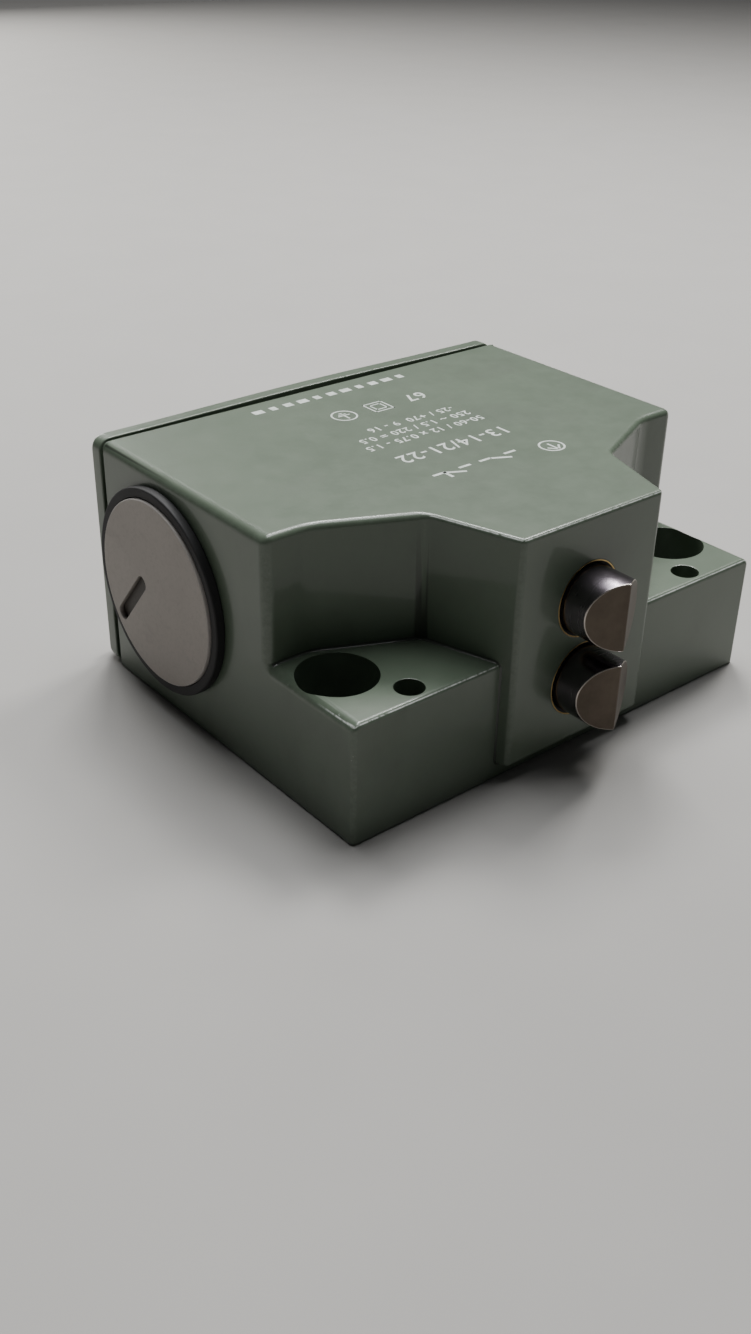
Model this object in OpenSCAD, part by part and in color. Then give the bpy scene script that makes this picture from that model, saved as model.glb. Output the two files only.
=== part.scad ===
// Two-plunger limit switch: a die-cast housing with two mounting ears, a nose that carries two
// roof-shaped plungers one above the other, a contact element behind each plunger, a screwed rear
// cover and a cable entry at each side, the left one closed by a plug.
// X runs along the width, +Y runs from the plungers to the rear cover and +Z points up from the
// mounting face. The origin is on the mounting face, midway between the two mounting holes.

/* [Housing] */
// Width over the ears and the body
body_w = 100; // [96:0.5:104]
// Height of the housing, three times the plunger pitch
body_h = 48; // [47:0.5:50]
// From the nose face to the housing's rear face
body_d = 78; // [76:0.5:82]
// Thickness of the housing walls
wall = 5; // [4:0.5:5.5]
// Height of the mounting ears
ear_h = 24; // [20:0.5:26]
// How far the ears' front face is set back from the nose face
ear_setback = 2.5; // [1.5:0.5:3.5]
// Height of the thin foot that runs under the nose
foot_h = 3.5; // [2.5:0.5:4]

/* [Nose] */
// Width of the nose at its front face
nose_tip_w = 34; // [32:0.5:36]
// Width of the nose where it meets the shoulders
nose_root_w = 45.6; // [44:0.2:47]
// Length of the tapered nose
nose_len = 17.7; // [16.5:0.1:18.5]

/* [Mounting holes] */
// From the nose face to the mounting holes' axes
hole_setback = 17; // [16:0.5:17.5]
// Distance between the two mounting holes
hole_pitch = 84; // [83:0.5:85]
// Mounting hole diameter, for an M8 screw
hole_d = 9; // [8.5:0.5:9.5]
// Counterbore diameter for the screw head
counterbore_d = 14.6; // [14:0.1:15]
// Counterbore depth
counterbore_depth = 9; // [6:0.5:12]
// Distance between the two locating holes
locating_pitch = 70; // [69:0.5:71]
// Locating hole diameter
locating_d = 5.3; // [5:0.1:5.5]
// From the nose face to the locating holes' axes
locating_setback = 6.5; // [6:0.1:7]

/* [Plungers] */
// Distance between the two plunger axes, and from each to the nearer face
pitch = 16; // [15.6:0.1:16]
// Plunger diameter
plunger_d = 13.1; // [12.8:0.05:13.2]
// How far the ridge stands out of the nose face
ridge_out = 9.05; // [8.5:0.05:9.5]
// Slope of the two running faces from the flat
roof_angle = 30; // [28:1:32]
// Working travel of each plunger
travel = 5; // [4:0.1:5]

/* [Cable entries] */
// Diameter of the plug's disc
plug_d = 35.8; // [35:0.1:37]
// Diameter of the plug's sealing ring
plug_ring_d = 39.8; // [39:0.1:40.4]
// Thickness of the sealing ring
plug_ring_t = 1.9; // [1.5:0.1:2.2]
// Clear bore of each cable entry, the minor diameter of its M25 x 1.5 thread
entry_d = 23.4; // [22.5:0.1:24]
// Height of the cable entries above the mounting face
entry_z = 25.2; // [24.5:0.1:25.5]
// From the nose face to the cable entries' axis
entry_back = 58.4; // [57:0.1:59]

/* [Rear cover] */
// Cover plate thickness
cover_t = 3.4; // [3:0.1:4]
// Gasket thickness
gasket_t = 1.2; // [1:0.1:1.5]
// Cover screw axes in from the outline
cover_screw_inset = 4.6; // [4.4:0.1:5]

/* [Hidden] */
$fn = 64;
run_gap = 0.05;                     // radial clearance of a running fit
small = 0.3;                        // air gap between neighbouring inner pieces

// Rear face and cover
gasket_y = body_d;
cover_y = gasket_y + gasket_t;
gasket_lip = 4;                     // how much smaller the gasket's opening is than the cavity
screw_x = body_w / 2 - cover_screw_inset;
screw_zs = [cover_screw_inset, body_h - cover_screw_inset];
cover_screw_d = 4;
cover_head_d = 7;
cover_head_t = 2;
cover_screw_len = 14;
cover_r = 2.5;                      // corner radius of the cover and its gasket
cross_l = 5;                        // length, width and depth of the heads' cross recess
cross_w = 1;
cross_depth = 1.1;
screw_clear = 0.5;                  // how much wider a through hole is than its screw
screw_grip = 1.5;                   // depth of the hole left beyond a screw's tip
head_slot_w = 0.9;                  // width and depth of the slot in the small screws' heads

// Plug: its disc sinks into the sealing ring
plug_disc_t = 1.7;
plug_sink = 1.2;
plug_stub_len = wall + 2;
plug_stub_wall = 2.5;

// Screwdriver slot in the plug's disc, down and back from its centre, and its turn
plug_slot_at = [-4.3, 8.3];
plug_slot_turn = -40;
plug_slot_len = 15;
plug_slot_w = 2.9;
plug_slot_depth = 1.1;

// Cavity
cavity_y = 31;
side_wall = wall + 1;               // the side walls are thicker, for the entries' threads
cavity_w = body_w - 2 * side_wall;
cavity_r = 3;
cavity_z0 = wall;
cavity_z1 = body_h - wall;
cavity_mid_z = (cavity_z0 + cavity_z1) / 2;
boss_r = 5;

// Shoulders
shoulder_y = 26;
shoulder_x = 41;

// Plunger bore, bush and wiper
bush_d = 14.6;
bush_bore_d = plunger_d + 2 * run_gap;
bush_len = cavity_y - 2;
wiper_d = 14;
wiper_t = 2;
wiper_sink = 0.1;                   // the wiper lies just behind the nose face
plunger_back = 17;                  // from the nose face to the plunger's rear shoulder
stem_d = 6;
stem_end = 36;
ring_groove_y = 5;
ring_groove_w = 2.4;
ring_minor = 1;
ring_clear = 0.02;
ring_mid_r = bush_bore_d / 2 - ring_clear - ring_minor;
key_y = 11;
key_d = 2;
key_slot_w = key_d + 2 * run_gap;
key_top = bush_d / 2 - 0.15;        // the key's tip stays inside the bush's outline
spring_wire = 1.2;
spring_mid_r = 4.6;
spring_turns = 5;
seat_t = cavity_y - bush_len;

// Contact elements, one behind each plunger
case_w = 42;
case_d = 24;
case_h = 14.6;
button_out = 6;                     // how far the button stands out of its case
case_y = stem_end + small + button_out;
case_wall = 1.8;
lid_t = 1.6;
lid_gap = 0.1;
button_d = 6.4;
button_y = stem_end + small;
slider_w = 7.6;
slider_h = 8;
slider_y = case_y + case_wall;
slider_len = 12;
slot_y = slider_y + 2;
slot_len = 8;
bridge_w = 27;
bridge_h = 4.6;
bridge_t = 1.2;
bridge_y = slot_y + slot_len - small - bridge_t;
bridge_play = 0.1;                  // air above and below the bridge in the slider's slot
bridge_ratio = 0.6;                 // bridge travel for one unit of button travel
contact_x = 12;
contact_d = 3.4;
contact_t = 0.8;
contact_air = 0.05;                 // air left between contacts that close on each other
contact_gap = travel * bridge_ratio;
strip_w = 6;
strip_t = 1;
strip_in_x = 9.5;
strip_front_y = bridge_y - 2 * contact_t - contact_air - strip_t;
strip_rear_y = bridge_y + bridge_t + 2 * contact_t + contact_gap + contact_air;
front_terminal_x = 34;
rear_terminal_x = 26.5;
terminal_screw_d = 3.5;
terminal_screw_len = 4.5;
terminal_head_d = 5.8;
terminal_head_t = 2;
contact_spring_r = 1.6;
contact_spring_wire = 0.4;
button_spring_r = 2.6;
button_spring_wire = 0.5;
fine_turns = 4;

// Carrier plate that joins the two elements to the housing
carrier_t = 1.5;
carrier_y = case_y + case_d;
carrier_w = 64;
carrier_mid_w = 38;
carrier_h = 26;
carrier_screw_x = 28;
carrier_post_d = 7;
post_screw_d = 3;
post_screw_len = 9;
post_head_d = 5.6;
post_head_t = 1.8;

// Earth terminal
earth_x = -38;
earth_z = 14;
earth_d = 4;
earth_screw_len = 8;
earth_head_d = 7.4;
earth_head_t = 2.4;
earth_pad = 12;
earth_face_y = cavity_y + 4;
clamp_t = 2;
clamp_w = 9;
clamp_edge = 1;                     // thickness of the turned-down edges
clamp_lift = 0.9;                   // height of the edges under the washer
clamp_clear = 0.3;

zs = [pitch, 2 * pitch];            // heights of the lower and the upper plunger axis

// ---------- placing helpers ----------

// Children are drawn from the nose face and moved to the mounting holes' line.
module from_nose() { translate([0, -hole_setback, 0]) children(); }

// A solid cylinder along +Y from y0, centred on x and z.
module rod_y(x, y0, z, d, len) {
    translate([x, y0, z]) rotate([-90, 0, 0]) cylinder(d = d, h = len);
}

// A block centred on x and z, running back from y0.
module block(x, y0, z, w, depth, h) {
    translate([x - w / 2, y0, z - h / 2]) cube([w, depth, h]);
}

// A flat rounded rectangle, centred, with true arcs at the corners.
module rounded_rect(w, h, r) {
    square([w, h - 2 * r], center = true);
    square([w - 2 * r, h], center = true);
    for (sx = [-1, 1], sy = [-1, 1])
        translate([sx * (w / 2 - r), sy * (h / 2 - r)]) circle(r);
}

// The two mirrored halves, left and right.
module both_sides() { for (side = [0, 1]) mirror([side, 0, 0]) children(); }

// The second contact element hangs upside down under the first, so that both lids face outwards.
module for_upper() { translate([0, 0, zs[1]]) children(); }
module for_lower() { translate([0, 0, zs[0]]) mirror([0, 0, 1]) children(); }

// ---------- housing ----------

module top_outline() {
    polygon([[-nose_tip_w / 2, 0], [nose_tip_w / 2, 0], [nose_root_w / 2, nose_len],
        [shoulder_x, shoulder_y], [body_w / 2, shoulder_y + 0.5], [body_w / 2, body_d],
        [-body_w / 2, body_d], [-body_w / 2, shoulder_y + 0.5], [-shoulder_x, shoulder_y],
        [-nose_root_w / 2, nose_len]]);
}

module housing_cavity() {
    difference() {
        translate([0, body_d + 1, cavity_mid_z]) rotate([90, 0, 0])
            linear_extrude(body_d + 1 - cavity_y)
                rounded_rect(cavity_w, cavity_z1 - cavity_z0, cavity_r);
        for (x = [-screw_x, screw_x], z = screw_zs) rod_y(x, cavity_y, z, 2 * boss_r, body_d);
        for (x = [-carrier_screw_x, carrier_screw_x])
            rod_y(x, cavity_y - 1, cavity_mid_z, carrier_post_d, carrier_y - cavity_y + 1);
        block(earth_x, cavity_y - 1, earth_z, earth_pad, earth_face_y - cavity_y + 1, earth_pad);
    }
}

module housing() {
    color([0.36, 0.41, 0.34]) from_nose() difference() {
        union() {
            translate([0, 0, foot_h]) linear_extrude(body_h - foot_h) top_outline();
            translate([-body_w / 2, ear_setback, 0])
                cube([body_w, body_d - ear_setback, ear_h]);
        }
        housing_cavity();
        for (z = zs) rod_y(0, -1, z, bush_d, cavity_y + 2);
        both_sides() translate([hole_pitch / 2, hole_setback, 0]) {
            translate([0, 0, -1]) cylinder(d = hole_d, h = ear_h + 2);
            translate([0, 0, ear_h - counterbore_depth])
                cylinder(d = counterbore_d, h = counterbore_depth + 1);
        }
        both_sides() translate([locating_pitch / 2, locating_setback, -1])
            cylinder(d = locating_d, h = ear_h + 2);
        both_sides() translate([body_w / 2 - wall - 3, entry_back, entry_z]) rotate([0, 90, 0])
            cylinder(d = entry_d, h = wall + 4);
        for (x = [-screw_x, screw_x], z = screw_zs)
            rod_y(x, cover_y + cover_t - cover_screw_len - screw_grip, z, cover_screw_d,
                cover_screw_len + 10);
        for (x = [-carrier_screw_x, carrier_screw_x])
            rod_y(x, carrier_y - 10, cavity_mid_z, post_screw_d, 11);
        rod_y(earth_x, earth_face_y - 8, earth_z, earth_d, 9);
    }
}

// ---------- rear cover ----------

module cover_plate(y0, t, hole) {
    difference() {
        translate([0, y0 + t, body_h / 2]) rotate([90, 0, 0])
            linear_extrude(t) rounded_rect(body_w, body_h, cover_r);
        for (x = [-screw_x, screw_x], z = screw_zs) rod_y(x, y0 - 1, z, hole, t + 2);
    }
}

module rear_cover() {
    color([0.36, 0.41, 0.34]) from_nose() cover_plate(cover_y, cover_t, cover_screw_d + screw_clear);
}

module cover_gasket() {
    color([0.05, 0.05, 0.05]) from_nose() difference() {
        cover_plate(gasket_y, gasket_t, cover_screw_d + screw_clear);
        difference() {
            block(0, gasket_y - 1, body_h / 2, cavity_w - gasket_lip, gasket_t + 2,
                body_h - 2 * wall - gasket_lip);
            for (x = [-screw_x, screw_x], z = screw_zs)
                rod_y(x, gasket_y - 2, z, 2 * boss_r, gasket_t + 4);
        }
    }
}

module cover_screws() {
    head_y = cover_y + cover_t;
    color([0.62, 0.62, 0.62]) from_nose() for (x = [-screw_x, screw_x], z = screw_zs)
        difference() {
            union() {
                rod_y(x, head_y - cover_screw_len, z, cover_screw_d, cover_screw_len);
                rod_y(x, head_y, z, cover_head_d, cover_head_t);
            }
            block(x, head_y + cover_head_t - cross_depth, z, cross_w, 2, cross_l);
            block(x, head_y + cover_head_t - cross_depth, z, cross_l, 2, cross_w);
        }
}

// ---------- cable entry plug, drawn along -X from the left side wall ----------

module at_left_entry() {
    translate([-body_w / 2, entry_back, entry_z]) rotate([0, -90, 0]) children();
}

module entry_plug() {
    seat = plug_ring_t - plug_sink;
    color([0.66, 0.64, 0.62]) from_nose() at_left_entry() difference() {
        union() {
            translate([0, 0, seat]) cylinder(d = plug_d, h = plug_disc_t);
            translate([0, 0, -plug_stub_len])
                cylinder(d = entry_d, h = plug_stub_len + plug_ring_t);
        }
        translate([0, 0, -plug_stub_len - 1])
            cylinder(d = entry_d - 2 * plug_stub_wall, h = plug_stub_len - 1);
        translate([plug_slot_at[0], plug_slot_at[1], seat + plug_disc_t - plug_slot_depth])
            rotate(plug_slot_turn) linear_extrude(3)
                rounded_rect(plug_slot_len, plug_slot_w, plug_slot_w / 2 - 0.01);
    }
}

module entry_plug_ring() {
    color([0.05, 0.05, 0.05]) from_nose() at_left_entry() difference() {
        cylinder(d = plug_ring_d, h = plug_ring_t);
        translate([0, 0, plug_ring_t - plug_sink]) cylinder(d = plug_d, h = plug_sink + 1);
        translate([0, 0, -1]) cylinder(d = entry_d, h = 5);
    }
}

// ---------- plunger guides, drawn on an axis along +Y at the origin height ----------

module guide_bush() {
    color([0.80, 0.66, 0.32]) from_nose() difference() {
        rod_y(0, 0, 0, bush_d, bush_len);
        rod_y(0, -1, 0, bush_bore_d, bush_len + 2);
        rod_y(0, -1, 0, wiper_d, wiper_t + 1);
        block(0, key_y - key_d / 2 - run_gap, bush_d / 2,
            key_slot_w, travel + key_d + 2 * run_gap + small, 4);
    }
}

module wiper_seal() {
    color([0.05, 0.05, 0.05]) from_nose() difference() {
        rod_y(0, wiper_sink, 0, wiper_d, wiper_t - wiper_sink);
        rod_y(0, -1, 0, bush_bore_d, wiper_t + 2);
    }
}

// Two sloping faces meet in an upright ridge across the axis.
module plunger() {
    top_y = -ridge_out;
    color([0.50, 0.50, 0.52]) from_nose() difference() {
        union() {
            rod_y(0, top_y, 0, plunger_d, plunger_back - top_y);
            rod_y(0, plunger_back, 0, stem_d, stem_end - plunger_back);
        }
        translate([0, 0, -plunger_d]) linear_extrude(2 * plunger_d) both_sides()
            polygon([[0, top_y], [0, top_y - 1], [plunger_d, top_y - 1],
                [plunger_d, top_y + plunger_d * tan(roof_angle)]]);
        translate([0, ring_groove_y, 0]) rotate([-90, 0, 0]) difference() {
            cylinder(d = plunger_d + 1, h = ring_groove_w);
            translate([0, 0, -1]) cylinder(r = ring_mid_r - ring_minor, h = ring_groove_w + 2);
        }
        translate([0, key_y, 0]) cylinder(d = key_d, h = plunger_d);
    }
}

module plunger_oring() {
    color([0.08, 0.08, 0.08]) from_nose()
        translate([0, ring_groove_y + ring_groove_w / 2, 0]) rotate([-90, 0, 0])
            rotate_extrude() translate([ring_mid_r, 0]) circle(ring_minor, $fn = 32);
}

module key_pin() {
    color([0.70, 0.70, 0.72]) from_nose()
        translate([0, key_y, 0]) cylinder(d = key_d, h = key_top);
}

function helix_point(a, r, rise) = [r * cos(a), r * sin(a), rise * a / 360];

// A plain coil along +Y from y0 to y1, with its ends cut off square.
module coil_y(y0, y1, mid_r, wire, turns, steps, sides) {
    rise = (y1 - y0 - wire) / turns;
    count = steps * turns;
    points = [for (i = [0:count], k = [0:sides - 1])
        let (a = 360 * i / steps, c = 360 * k / sides,
             r = mid_r + wire / 2 * cos(c), p = helix_point(a, r, rise))
        [p[0], y0 + wire / 2 + p[2] + wire / 2 * sin(c), p[1]]];
    sides_faces = [for (i = [0:count - 1], k = [0:sides - 1])
        let (n = (k + 1) % sides)
        [i * sides + k, i * sides + n, (i + 1) * sides + n, (i + 1) * sides + k]];
    start_face = [for (k = [sides - 1:-1:0]) k];
    end_face = [for (k = [0:sides - 1]) count * sides + k];
    polyhedron(points, concat(sides_faces, [start_face, end_face]), convexity = 6);
}

module return_spring() {
    color([0.60, 0.60, 0.62]) from_nose()
        coil_y(plunger_back, bush_len, spring_mid_r, spring_wire, spring_turns, 16, 8);
}

module spring_seat() {
    color([0.70, 0.60, 0.35]) from_nose() difference() {
        rod_y(0, bush_len, 0, bush_d, seat_t);
        rod_y(0, bush_len - 1, 0, stem_d + 2 * run_gap, seat_t + 2);
    }
}

// ---------- contact elements, drawn at the origin height with the lid on top ----------

module switch_case() {
    inner_w = case_w - 2 * case_wall;
    color([0.10, 0.10, 0.11]) from_nose() difference() {
        block(0, case_y, 0, case_w, case_d, case_h);
        translate([-inner_w / 2, case_y + case_wall, -case_h / 2 + case_wall])
            cube([inner_w, case_d - 2 * case_wall, case_h]);
        rod_y(0, case_y - 1, 0, button_d + 2 * run_gap, case_wall + 2);
        both_sides() for (y = [strip_front_y, strip_rear_y])
            block(case_w / 2, y, 0, 2 * case_wall + 2, strip_t, strip_w);
    }
}

module switch_lid() {
    lid_w = case_w - 2 * case_wall - 2 * lid_gap;
    lid_d = case_d - 2 * case_wall - 2 * lid_gap;
    color([0.75, 0.62, 0.38]) from_nose()
        block(0, case_y + case_wall + lid_gap, case_h / 2 - lid_t / 2, lid_w, lid_d, lid_t);
}

// The button is one with the slider that carries the bridge through its slot.
module switch_button() {
    color([0.88, 0.87, 0.83]) from_nose() difference() {
        union() {
            rod_y(0, button_y, 0, button_d, case_y + case_wall + 1 - button_y);
            block(0, slider_y, 0, slider_w, slider_len, slider_h);
        }
        block(0, slot_y, 0, slider_w + 2, slot_len, bridge_h + 2 * bridge_play);
    }
}

module contact_bridge() {
    color([0.80, 0.55, 0.30]) from_nose() {
        block(0, bridge_y, 0, bridge_w, bridge_t, bridge_h);
        for (x = [-contact_x, contact_x])
            rod_y(x, bridge_y - contact_t, 0, contact_d, bridge_t + 2 * contact_t);
    }
}

module contact_spring() {
    color([0.60, 0.60, 0.62]) from_nose()
        coil_y(slot_y, bridge_y, contact_spring_r, contact_spring_wire, fine_turns, 12, 6);
}

module button_spring() {
    color([0.60, 0.60, 0.62]) from_nose()
        coil_y(slider_y + slider_len, case_y + case_d - case_wall, button_spring_r,
            button_spring_wire, fine_turns, 12, 6);
}

// A pair of strips, each with a contact facing the bridge and a hole for its terminal screw.
module contact_pair(strip_y, contact_y, terminal_x) {
    out_x = terminal_x + strip_w / 2;
    color([0.82, 0.68, 0.34]) from_nose() both_sides() difference() {
        union() {
            block((strip_in_x + out_x) / 2, strip_y, 0, out_x - strip_in_x, strip_t, strip_w);
            rod_y(contact_x, contact_y, 0, contact_d, contact_t);
        }
        rod_y(terminal_x, strip_y - 1, 0, terminal_screw_d, strip_t + 2);
    }
}

module closed_contacts() { contact_pair(strip_front_y, strip_front_y + strip_t, front_terminal_x); }
module open_contacts() { contact_pair(strip_rear_y, strip_rear_y - contact_t, rear_terminal_x); }

module terminal_screw(x, strip_y) {
    difference() {
        union() {
            rod_y(x, strip_y - terminal_screw_len, 0, terminal_screw_d,
                terminal_screw_len + strip_t);
            rod_y(x, strip_y + strip_t, 0, terminal_head_d, terminal_head_t);
        }
        block(x, strip_y + strip_t + terminal_head_t - head_slot_w, 0,
            terminal_head_d + 1, 2, head_slot_w);
    }
}

module terminal_screws() {
    color([0.72, 0.72, 0.74]) from_nose() both_sides() {
        terminal_screw(front_terminal_x, strip_front_y);
        terminal_screw(rear_terminal_x, strip_rear_y);
    }
}

// ---------- carrier plate and earth terminal ----------

module switch_carrier() {
    color([0.66, 0.66, 0.68]) from_nose() difference() {
        union() {
            block(0, carrier_y, cavity_mid_z, carrier_mid_w, carrier_t, carrier_h);
            block(0, carrier_y, cavity_mid_z, carrier_w, carrier_t, carrier_post_d);
        }
        for (x = [-carrier_screw_x, carrier_screw_x])
            rod_y(x, carrier_y - 1, cavity_mid_z, post_screw_d, carrier_t + 2);
    }
}

module slotted_screw(x, z, head_y, d, len, head_d, head_t) {
    difference() {
        union() {
            rod_y(x, head_y - len, z, d, len);
            rod_y(x, head_y, z, head_d, head_t);
        }
        block(x, head_y + head_t - head_slot_w, z, head_slot_w, 2, head_d + 1);
    }
}

module carrier_screws() {
    color([0.72, 0.72, 0.74]) from_nose() for (x = [-carrier_screw_x, carrier_screw_x])
        slotted_screw(x, cavity_mid_z, carrier_y + carrier_t, post_screw_d,
            post_screw_len, post_head_d, post_head_t);
}

module earth_screw() {
    color([0.80, 0.68, 0.36]) from_nose()
        slotted_screw(earth_x, earth_z, earth_face_y + clamp_t, earth_d,
            earth_screw_len, earth_head_d, earth_head_t);
}

// A square clamp washer with two turned-down edges that keep the earth wire under it.
module earth_clamp() {
    color([0.82, 0.70, 0.38]) from_nose() difference() {
        block(earth_x, earth_face_y, earth_z, clamp_w, clamp_t, clamp_w);
        block(earth_x, earth_face_y - 1, earth_z, clamp_w - 2 * clamp_edge, 1 + clamp_lift,
            clamp_w + 2);
        rod_y(earth_x, earth_face_y - 1, earth_z, earth_d + clamp_clear, clamp_t + 2);
    }
}

// ---------- the nodes ----------

housing();
rear_cover();
cover_gasket();
cover_screws();
entry_plug();
entry_plug_ring();
for_upper() guide_bush();  // upper_guide_bush
for_lower() guide_bush();  // lower_guide_bush
for_upper() wiper_seal();  // upper_wiper_seal
for_lower() wiper_seal();  // lower_wiper_seal
for_upper() plunger();  // upper_plunger
for_lower() plunger();  // lower_plunger
for_upper() plunger_oring();  // upper_plunger_oring
for_lower() plunger_oring();  // lower_plunger_oring
for_upper() key_pin();  // upper_key_pin
for_lower() key_pin();  // lower_key_pin
for_upper() return_spring();  // upper_return_spring
for_lower() return_spring();  // lower_return_spring
for_upper() spring_seat();  // upper_spring_seat
for_lower() spring_seat();  // lower_spring_seat
for_upper() switch_case();  // upper_switch_case
for_lower() switch_case();  // lower_switch_case
for_upper() switch_lid();  // upper_switch_lid
for_lower() switch_lid();  // lower_switch_lid
for_upper() switch_button();  // upper_switch_button
for_lower() switch_button();  // lower_switch_button
for_upper() contact_bridge();  // upper_contact_bridge
for_lower() contact_bridge();  // lower_contact_bridge
for_upper() contact_spring();  // upper_contact_spring
for_lower() contact_spring();  // lower_contact_spring
for_upper() button_spring();  // upper_button_spring
for_lower() button_spring();  // lower_button_spring
for_upper() closed_contacts();  // upper_closed_contacts
for_lower() closed_contacts();  // lower_closed_contacts
for_upper() open_contacts();  // upper_open_contacts
for_lower() open_contacts();  // lower_open_contacts
for_upper() terminal_screws();  // upper_terminal_screws
for_lower() terminal_screws();  // lower_terminal_screws
switch_carrier();
carrier_screws();
earth_screw();
earth_clamp();
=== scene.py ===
import math
import bmesh
import bpy
from mathutils import Matrix, Vector


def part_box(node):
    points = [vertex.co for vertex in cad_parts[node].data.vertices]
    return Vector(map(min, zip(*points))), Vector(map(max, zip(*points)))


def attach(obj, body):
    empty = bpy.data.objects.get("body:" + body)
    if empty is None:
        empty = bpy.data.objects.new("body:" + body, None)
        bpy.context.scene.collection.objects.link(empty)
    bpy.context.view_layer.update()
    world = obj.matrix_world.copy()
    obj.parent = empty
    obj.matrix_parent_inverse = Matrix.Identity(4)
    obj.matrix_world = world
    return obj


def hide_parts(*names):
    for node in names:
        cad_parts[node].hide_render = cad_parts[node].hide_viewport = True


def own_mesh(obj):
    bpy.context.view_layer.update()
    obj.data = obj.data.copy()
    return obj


# A two-plunger limit switch: enamelled die casting, steel plungers in brass guides, black seals, a
# grey entry plug and a screwed rear cover. X is the width, Y runs back from the plungers to the cover
# and Z is up.

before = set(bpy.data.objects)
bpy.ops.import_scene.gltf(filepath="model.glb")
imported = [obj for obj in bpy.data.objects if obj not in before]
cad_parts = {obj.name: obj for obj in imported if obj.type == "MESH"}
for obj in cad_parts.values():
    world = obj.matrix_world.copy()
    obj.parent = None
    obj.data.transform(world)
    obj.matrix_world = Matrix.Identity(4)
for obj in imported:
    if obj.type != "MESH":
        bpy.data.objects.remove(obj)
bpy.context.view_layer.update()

MM = 0.001

# ---------------------------------------------------------------------------------------------------
# Sizes, taken from the frame where it has them
# ---------------------------------------------------------------------------------------------------

HOUSING_LOW, HOUSING_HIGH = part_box("housing")
COVER_LOW, COVER_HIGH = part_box("rear_cover")
SCREWS_LOW, SCREWS_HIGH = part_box("cover_screws")
GASKET_LOW, GASKET_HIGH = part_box("cover_gasket")
PLUG_LOW, PLUG_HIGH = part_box("entry_plug")
RING_LOW, RING_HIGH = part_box("entry_plug_ring")
BUSH_LOW, BUSH_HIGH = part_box("upper_guide_bush")
PLUNGER_LOW, PLUNGER_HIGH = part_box("upper_plunger")
CARRIER_FRONT_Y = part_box("switch_carrier")[0].y

HALF_WIDTH = HOUSING_HIGH.x
TOP = HOUSING_HIGH.z
NOSE_Y = HOUSING_LOW.y
REAR_Y = HOUSING_HIGH.y
PITCH = TOP / 3
PLUNGER_HEIGHTS = {"upper": 2 * PITCH, "lower": PITCH}


def behind_nose(distance):
    """A place this many millimetres behind the nose face."""
    return NOSE_Y + distance * MM


EAR_TOP = 24 * MM
EAR_FRONT = behind_nose(2.5)
FOOT_TOP = 3.5 * MM
NOSE_TIP_HALF = 17 * MM
NOSE_ROOT_HALF = 22.8 * MM
NOSE_ROOT_Y = behind_nose(17.7)
SHOULDER_HALF = 41 * MM
SHOULDER_Y = behind_nose(26)
WALL = 5 * MM
CAVITY_Y = behind_nose(31)
CAVITY_HALF = HALF_WIDTH - WALL - 1 * MM
ENTRY_Y = (PLUG_LOW.y + PLUG_HIGH.y) / 2
ENTRY_Z = (PLUG_LOW.z + PLUG_HIGH.z) / 2
ENTRY_RADIUS = 11.7 * MM
THREAD_RADIUS = 12.5 * MM
THREAD_PITCH = 1.5 * MM
HOLE_X = 42 * MM
LOCATING_X = 35 * MM
LOCATING_Y = behind_nose(6.5)
MOUNTING_HOLE_RADIUS = 4.5 * MM
COUNTERBORE_RADIUS = 7.3 * MM
COUNTERBORE_DEPTH = 9 * MM
LOCATING_HOLE_RADIUS = 2.65 * MM
SCREW_HEAD_RADIUS = 3.5 * MM
SCREW_X = SCREWS_HIGH.x - SCREW_HEAD_RADIUS
SCREW_HEIGHTS = (SCREWS_LOW.z + SCREW_HEAD_RADIUS, SCREWS_HIGH.z - SCREW_HEAD_RADIUS)
SCREW_PLACES = [(x, z) for x in (-SCREW_X, SCREW_X) for z in SCREW_HEIGHTS]
BOSS_RADIUS = 5 * MM
POST_X = 28 * MM
POST_RADIUS = 3.5 * MM
TAPPING_DEPTH = 12 * MM
BUSH_RADIUS = (BUSH_HIGH.x - BUSH_LOW.x) / 2
PLUNGER_RADIUS = (PLUNGER_HIGH.x - PLUNGER_LOW.x) / 2
ROOF_SLOPE = math.radians(30)

BODY = "switch_body"

# ---------------------------------------------------------------------------------------------------
# Camera, light and floor
# ---------------------------------------------------------------------------------------------------

CAMERA_PLACE = Vector((-165.6, -158.6, 145.0)) * MM
CAMERA_AIM = Vector((-31.1, 3.1, 20.0)) * MM
CAMERA_ROLL = math.radians(1.1)
CAMERA_LENS = 37.63


def add_camera():
    bpy.ops.object.camera_add(location=CAMERA_PLACE)
    camera = bpy.context.object
    camera.name = "view_camera"
    aim = (CAMERA_AIM - CAMERA_PLACE).to_track_quat("-Z", "Y").to_matrix().to_4x4()
    roll = Matrix.Rotation(CAMERA_ROLL, 4, "Z")
    camera.matrix_world = Matrix.Translation(CAMERA_PLACE) @ aim @ roll
    camera.data.lens = CAMERA_LENS
    camera.data.clip_start = 1 * MM
    bpy.context.scene.camera = camera


def add_area_light(name, place, aim, size, power, colour):
    bpy.ops.object.light_add(type="AREA", location=place)
    light = bpy.context.object
    light.name = name
    direction = Vector(aim) - Vector(place)
    light.rotation_euler = direction.to_track_quat("-Z", "Y").to_euler()
    light.data.shape = "RECTANGLE"
    light.data.size, light.data.size_y = size
    light.data.energy = power
    light.data.color = colour


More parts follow.
